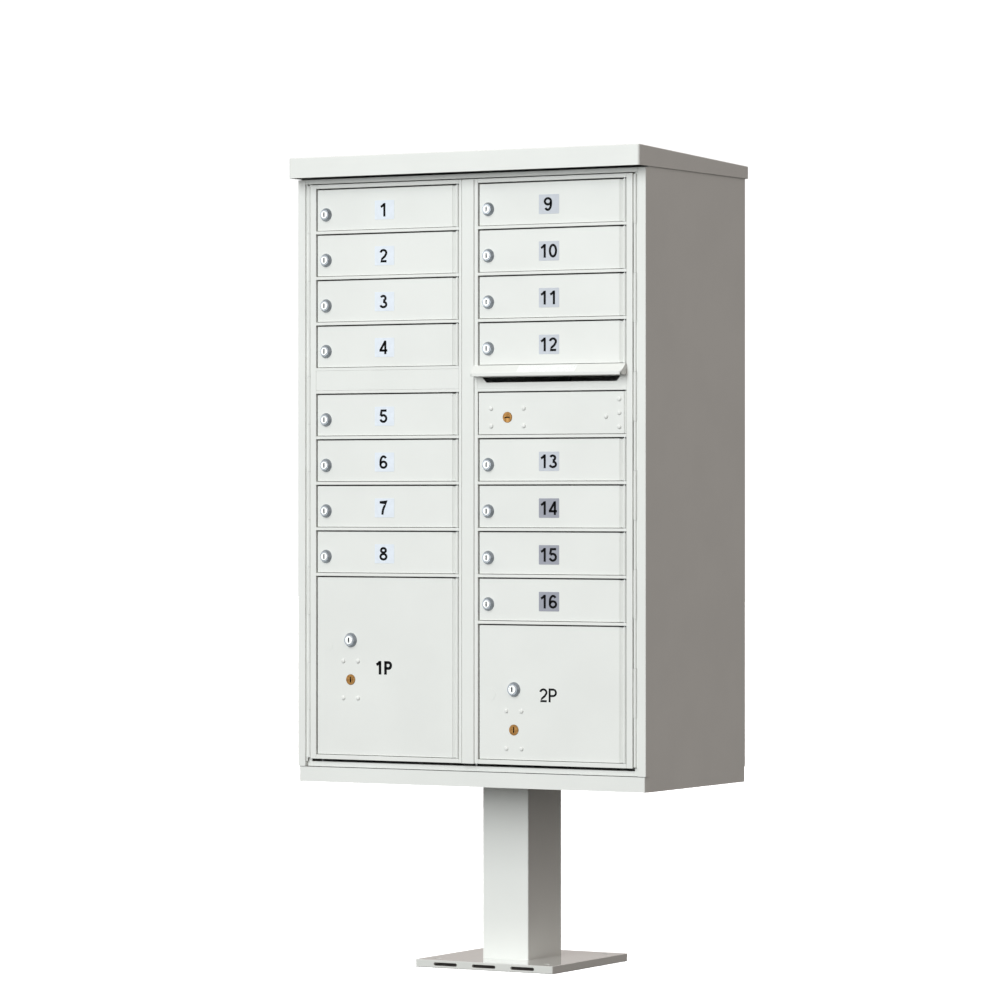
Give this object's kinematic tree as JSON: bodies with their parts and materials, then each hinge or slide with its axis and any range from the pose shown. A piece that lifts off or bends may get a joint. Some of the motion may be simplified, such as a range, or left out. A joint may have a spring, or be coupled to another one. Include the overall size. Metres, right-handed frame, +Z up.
{
  "type": "cluster mailbox unit",
  "caption": "Pedestal-mounted cluster mailbox cabinet with locking tenant doors, parcel lockers, an outgoing mail slot and two full-height loading doors under a hood.",
  "frame": {"origin": "middle of the unit's footprint (the hood's outline) on the ground", "axes": "+X to the right when facing the doors, +Y towards the back, +Z up"},
  "size_m": [0.7746, 0.4572, 1.5747],
  "materials": {
    "powder_coat": "satin off-white powder coat",
    "chrome": "bright plated lock faces",
    "brass": "dull brass arrow lock cylinders",
    "steel": "zinc plated",
    "aluminium": "mill finish sheet"
  },
  "bodies": {
    "cabinet": {"hood": "powder_coat", "side_panel_left": "powder_coat", "side_panel_right": "powder_coat", "rear_panel": "powder_coat", "floor_pan": "powder_coat", "face_frame": "powder_coat", "compartment_walls": "aluminium", "compartment_shelves": "aluminium", "pedestal_post": "powder_coat", "pedestal_base": "powder_coat", "cabinet_hardware": "steel"},
    "left_loading_door": {"left_door_frame": "powder_coat", "left_door_bars": "powder_coat", "left_door_pins": "steel"},
    "right_loading_door": {"right_door_frame": "powder_coat", "right_door_bars": "powder_coat", "right_door_pins": "steel", "mail_slot_hood": "powder_coat"},
    "tenant_door_01": {"tenant_door_01": "powder_coat"},
    "tenant_lock_01": {"tenant_lock_01": "chrome"},
    "tenant_door_02": {"tenant_door_02": "powder_coat"},
    "tenant_lock_02": {"tenant_lock_02": "chrome"},
    "tenant_door_03": {"tenant_door_03": "powder_coat"},
    "tenant_lock_03": {"tenant_lock_03": "chrome"},
    "tenant_door_04": {"tenant_door_04": "powder_coat"},
    "tenant_lock_04": {"tenant_lock_04": "chrome"},
    "tenant_door_05": {"tenant_door_05": "powder_coat"},
    "tenant_lock_05": {"tenant_lock_05": "chrome"},
    "tenant_door_06": {"tenant_door_06": "powder_coat"},
    "tenant_lock_06": {"tenant_lock_06": "chrome"},
    "tenant_door_07": {"tenant_door_07": "powder_coat"},
    "tenant_lock_07": {"tenant_lock_07": "chrome"},
    "tenant_door_08": {"tenant_door_08": "powder_coat"},
    "tenant_lock_08": {"tenant_lock_08": "chrome"},
    "tenant_door_09": {"tenant_door_09": "powder_coat"},
    "tenant_lock_09": {"tenant_lock_09": "chrome"},
    "tenant_door_10": {"tenant_door_10": "powder_coat"},
    "tenant_lock_10": {"tenant_lock_10": "chrome"},
    "tenant_door_11": {"tenant_door_11": "powder_coat"},
    "tenant_lock_11": {"tenant_lock_11": "chrome"},
    "tenant_door_12": {"tenant_door_12": "powder_coat"},
    "tenant_lock_12": {"tenant_lock_12": "chrome"},
    "tenant_door_13": {"tenant_door_13": "powder_coat"},
    "tenant_lock_13": {"tenant_lock_13": "chrome"},
    "tenant_door_14": {"tenant_door_14": "powder_coat"},
    "tenant_lock_14": {"tenant_lock_14": "chrome"},
    "tenant_door_15": {"tenant_door_15": "powder_coat"},
    "tenant_lock_15": {"tenant_lock_15": "chrome"},
    "tenant_door_16": {"tenant_door_16": "powder_coat"},
    "tenant_lock_16": {"tenant_lock_16": "chrome"},
    "parcel_door_1": {"parcel_door_1": "powder_coat"},
    "parcel_lock_1": {"parcel_lock_1": "chrome"},
    "parcel_arrow_lock_1": {"parcel_arrow_lock_1": "brass"},
    "parcel_door_2": {"parcel_door_2": "powder_coat"},
    "parcel_lock_2": {"parcel_lock_2": "chrome"},
    "parcel_arrow_lock_2": {"parcel_arrow_lock_2": "brass"},
    "mail_door": {"mail_door": "powder_coat"},
    "mail_arrow_lock": {"mail_arrow_lock": "brass"},
    "left_latch_bar": {"left_latch_bar": "steel"},
    "right_latch_bar": {"right_latch_bar": "steel"}
  },
  "joints": [
    {"name": "left_loading_door_hinge", "type": "hinge", "parent": "cabinet", "child": "left_loading_door", "pos_m": [-0.3609, -0.1938, 0.96], "axis": [0, 0, -1], "range_deg": [0, 110]},
    {"name": "right_loading_door_hinge", "type": "hinge", "parent": "cabinet", "child": "right_loading_door", "pos_m": [0.3609, -0.1938, 0.96], "axis": [0, 0, 1], "range_deg": [0, 110]},
    {"name": "tenant_door_01_hinge", "type": "hinge", "parent": "left_loading_door", "child": "tenant_door_01", "pos_m": [-0.0266, -0.1933, 1.4683], "axis": [0, 0, 1], "range_deg": [0, 100]},
    {"name": "tenant_lock_01_turn", "type": "hinge", "parent": "tenant_door_01", "child": "tenant_lock_01", "pos_m": [-0.3224, -0.1978, 1.4638], "axis": [0, -1, 0], "range_deg": [0, 90]},
    {"name": "tenant_door_02_hinge", "type": "hinge", "parent": "left_loading_door", "child": "tenant_door_02", "pos_m": [-0.0266, -0.1933, 1.3794], "axis": [0, 0, 1], "range_deg": [0, 100]},
    {"name": "tenant_lock_02_turn", "type": "hinge", "parent": "tenant_door_02", "child": "tenant_lock_02", "pos_m": [-0.3224, -0.1978, 1.3749], "axis": [0, -1, 0], "range_deg": [0, 90]},
    {"name": "tenant_door_03_hinge", "type": "hinge", "parent": "left_loading_door", "child": "tenant_door_03", "pos_m": [-0.0266, -0.1933, 1.2905], "axis": [0, 0, 1], "range_deg": [0, 100]},
    {"name": "tenant_lock_03_turn", "type": "hinge", "parent": "tenant_door_03", "child": "tenant_lock_03", "pos_m": [-0.3224, -0.1978, 1.286], "axis": [0, -1, 0], "range_deg": [0, 90]},
    {"name": "tenant_door_04_hinge", "type": "hinge", "parent": "left_loading_door", "child": "tenant_door_04", "pos_m": [-0.0266, -0.1933, 1.2016], "axis": [0, 0, 1], "range_deg": [0, 100]},
    {"name": "tenant_lock_04_turn", "type": "hinge", "parent": "tenant_door_04", "child": "tenant_lock_04", "pos_m": [-0.3224, -0.1978, 1.1971], "axis": [0, -1, 0], "range_deg": [0, 90]},
    {"name": "tenant_door_05_hinge", "type": "hinge", "parent": "left_loading_door", "child": "tenant_door_05", "pos_m": [-0.0266, -0.1933, 1.06825], "axis": [0, 0, 1], "range_deg": [0, 100]},
    {"name": "tenant_lock_05_turn", "type": "hinge", "parent": "tenant_door_05", "child": "tenant_lock_05", "pos_m": [-0.3224, -0.1978, 1.06375], "axis": [0, -1, 0], "range_deg": [0, 90]},
    {"name": "tenant_door_06_hinge", "type": "hinge", "parent": "left_loading_door", "child": "tenant_door_06", "pos_m": [-0.0266, -0.1933, 0.97935], "axis": [0, 0, 1], "range_deg": [0, 100]},
    {"name": "tenant_lock_06_turn", "type": "hinge", "parent": "tenant_door_06", "child": "tenant_lock_06", "pos_m": [-0.3224, -0.1978, 0.97485], "axis": [0, -1, 0], "range_deg": [0, 90]},
    {"name": "tenant_door_07_hinge", "type": "hinge", "parent": "left_loading_door", "child": "tenant_door_07", "pos_m": [-0.0266, -0.1933, 0.89045], "axis": [0, 0, 1], "range_deg": [0, 100]},
    {"name": "tenant_lock_07_turn", "type": "hinge", "parent": "tenant_door_07", "child": "tenant_lock_07", "pos_m": [-0.3224, -0.1978, 0.88595], "axis": [0, -1, 0], "range_deg": [0, 90]},
    {"name": "tenant_door_08_hinge", "type": "hinge", "parent": "left_loading_door", "child": "tenant_door_08", "pos_m": [-0.0266, -0.1933, 0.80155], "axis": [0, 0, 1], "range_deg": [0, 100]},
    {"name": "tenant_lock_08_turn", "type": "hinge", "parent": "tenant_door_08", "child": "tenant_lock_08", "pos_m": [-0.3224, -0.1978, 0.79705], "axis": [0, -1, 0], "range_deg": [0, 90]},
    {"name": "tenant_door_09_hinge", "type": "hinge", "parent": "right_loading_door", "child": "tenant_door_09", "pos_m": [0.338, -0.1933, 1.4683], "axis": [0, 0, 1], "range_deg": [0, 100]},
    {"name": "tenant_lock_09_turn", "type": "hinge", "parent": "tenant_door_09", "child": "tenant_lock_09", "pos_m": [0.0422, -0.1978, 1.4638], "axis": [0, -1, 0], "range_deg": [0, 90]},
    {"name": "tenant_door_10_hinge", "type": "hinge", "parent": "right_loading_door", "child": "tenant_door_10", "pos_m": [0.338, -0.1933, 1.3794], "axis": [0, 0, 1], "range_deg": [0, 100]},
    {"name": "tenant_lock_10_turn", "type": "hinge", "parent": "tenant_door_10", "child": "tenant_lock_10", "pos_m": [0.0422, -0.1978, 1.3749], "axis": [0, -1, 0], "range_deg": [0, 90]},
    {"name": "tenant_door_11_hinge", "type": "hinge", "parent": "right_loading_door", "child": "tenant_door_11", "pos_m": [0.338, -0.1933, 1.2905], "axis": [0, 0, 1], "range_deg": [0, 100]},
    {"name": "tenant_lock_11_turn", "type": "hinge", "parent": "tenant_door_11", "child": "tenant_lock_11", "pos_m": [0.0422, -0.1978, 1.286], "axis": [0, -1, 0], "range_deg": [0, 90]},
    {"name": "tenant_door_12_hinge", "type": "hinge", "parent": "right_loading_door", "child": "tenant_door_12", "pos_m": [0.338, -0.1933, 1.2016], "axis": [0, 0, 1], "range_deg": [0, 100]},
    {"name": "tenant_lock_12_turn", "type": "hinge", "parent": "tenant_door_12", "child": "tenant_lock_12", "pos_m": [0.0422, -0.1978, 1.1971], "axis": [0, -1, 0], "range_deg": [0, 90]},
    {"name": "tenant_door_13_hinge", "type": "hinge", "parent": "right_loading_door", "child": "tenant_door_13", "pos_m": [0.338, -0.1933, 0.97935], "axis": [0, 0, 1], "range_deg": [0, 100]},
    {"name": "tenant_lock_13_turn", "type": "hinge", "parent": "tenant_door_13", "child": "tenant_lock_13", "pos_m": [0.0422, -0.1978, 0.97485], "axis": [0, -1, 0], "range_deg": [0, 90]},
    {"name": "tenant_door_14_hinge", "type": "hinge", "parent": "right_loading_door", "child": "tenant_door_14", "pos_m": [0.338, -0.1933, 0.89045], "axis": [0, 0, 1], "range_deg": [0, 100]},
    {"name": "tenant_lock_14_turn", "type": "hinge", "parent": "tenant_door_14", "child": "tenant_lock_14", "pos_m": [0.0422, -0.1978, 0.88595], "axis": [0, -1, 0], "range_deg": [0, 90]},
    {"name": "tenant_door_15_hinge", "type": "hinge", "parent": "right_loading_door", "child": "tenant_door_15", "pos_m": [0.338, -0.1933, 0.80155], "axis": [0, 0, 1], "range_deg": [0, 100]},
    {"name": "tenant_lock_15_turn", "type": "hinge", "parent": "tenant_door_15", "child": "tenant_lock_15", "pos_m": [0.0422, -0.1978, 0.79705], "axis": [0, -1, 0], "range_deg": [0, 90]},
    {"name": "tenant_door_16_hinge", "type": "hinge", "parent": "right_loading_door", "child": "tenant_door_16", "pos_m": [0.338, -0.1933, 0.71265], "axis": [0, 0, 1], "range_deg": [0, 100]},
    {"name": "tenant_lock_16_turn", "type": "hinge", "parent": "tenant_door_16", "child": "tenant_lock_16", "pos_m": [0.0422, -0.1978, 0.70815], "axis": [0, -1, 0], "range_deg": [0, 90]},
    {"name": "parcel_door_1_hinge", "type": "hinge", "parent": "left_loading_door", "child": "parcel_door_1", "pos_m": [-0.0266, -0.1933, 0.58383], "axis": [0, 0, 1], "range_deg": [0, 100]},
    {"name": "parcel_lock_1_turn", "type": "hinge", "parent": "parcel_door_1", "child": "parcel_lock_1", "pos_m": [-0.266, -0.1978, 0.6348], "axis": [0, -1, 0], "range_deg": [0, 90]},
    {"name": "parcel_arrow_lock_1_turn", "type": "hinge", "parent": "parcel_door_1", "child": "parcel_arrow_lock_1", "pos_m": [-0.266, -0.1978, 0.5578], "axis": [0, 1, 0], "range_deg": [0, 90]},
    {"name": "parcel_door_2_hinge", "type": "hinge", "parent": "right_loading_door", "child": "parcel_door_2", "pos_m": [0.338, -0.1933, 0.53938], "axis": [0, 0, 1], "range_deg": [0, 100]},
    {"name": "parcel_lock_2_turn", "type": "hinge", "parent": "parcel_door_2", "child": "parcel_lock_2", "pos_m": [0.0986, -0.1978, 0.5457], "axis": [0, -1, 0], "range_deg": [0, 90]},
    {"name": "parcel_arrow_lock_2_turn", "type": "hinge", "parent": "parcel_door_2", "child": "parcel_arrow_lock_2", "pos_m": [0.0986, -0.1978, 0.4684], "axis": [0, 1, 0], "range_deg": [0, 90]},
    {"name": "mail_door_hinge", "type": "hinge", "parent": "right_loading_door", "child": "mail_door", "pos_m": [0.3408, -0.1952, 1.07], "axis": [0, 0, 1], "range_deg": [0, 95]},
    {"name": "mail_arrow_lock_turn", "type": "hinge", "parent": "mail_door", "child": "mail_arrow_lock", "pos_m": [0.0857, -0.1978, 1.0652], "axis": [0, -1, 0], "range_deg": [0, 90]},
    {"name": "left_latch_bar_slide", "type": "slide", "parent": "left_loading_door", "child": "left_latch_bar", "axis": [0, 0, 1], "range_m": [0, 0.01]},
    {"name": "right_latch_bar_slide", "type": "slide", "parent": "right_loading_door", "child": "right_latch_bar", "axis": [0, 0, 1], "range_m": [0, 0.01]}
  ]
}
